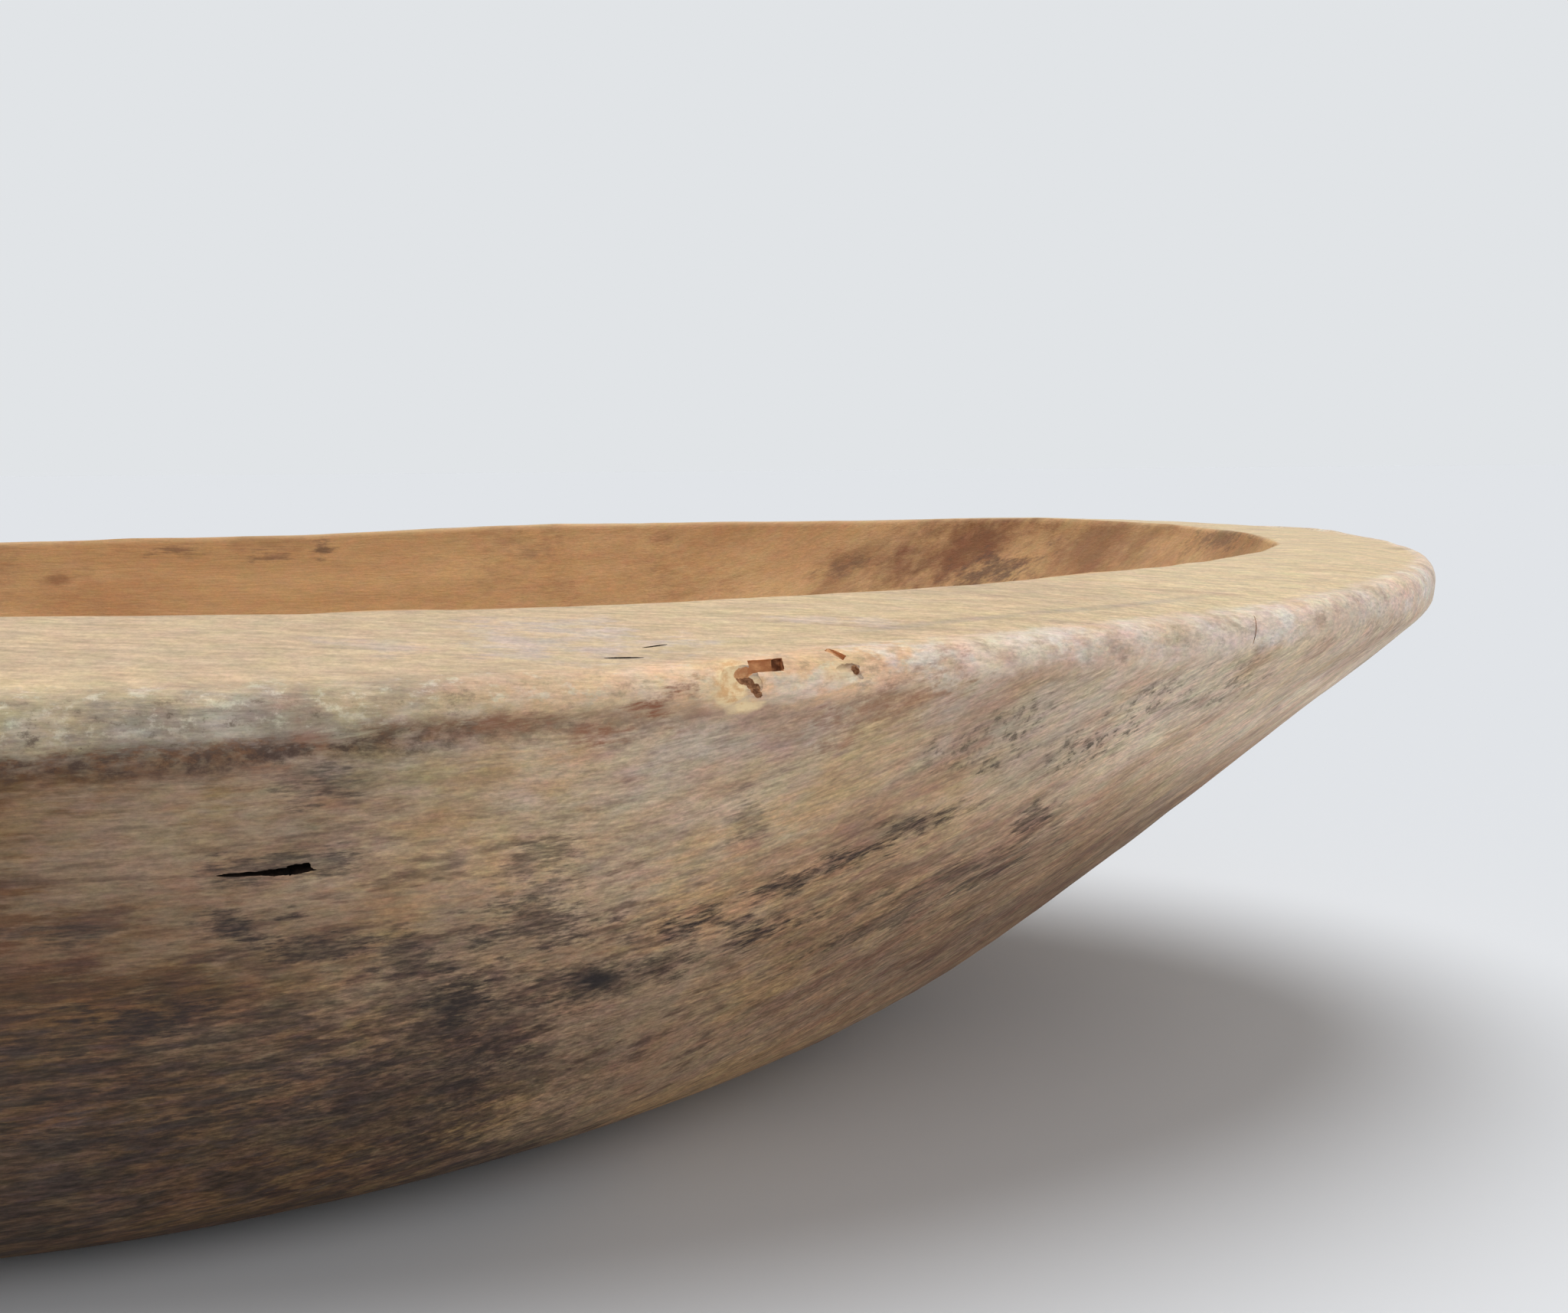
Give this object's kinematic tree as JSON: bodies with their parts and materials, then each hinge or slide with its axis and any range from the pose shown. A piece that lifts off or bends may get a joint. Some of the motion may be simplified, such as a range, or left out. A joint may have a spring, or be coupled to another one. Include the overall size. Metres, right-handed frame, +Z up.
{
  "type": "dough bowl",
  "caption": "Long oval dough bowl hewn from one block of wood, with a deep hollow, a broad rim with a rounded lip, and a flat foot.",
  "frame": {"origin": "on the table, under the middle of the bowl", "axes": "+X along the bowl's length and its grain, +Y across the bowl, +Z up out of the hollow"},
  "size_m": [0.59, 0.28, 0.1092],
  "materials": {
    "aged_wood": "bare hewn wood, worn smooth, with pale rim, grey bloom and dark stained streaks along the grain"
  },
  "bodies": {
    "root": {"bowl": "aged_wood"}
  },
  "joints": []
}
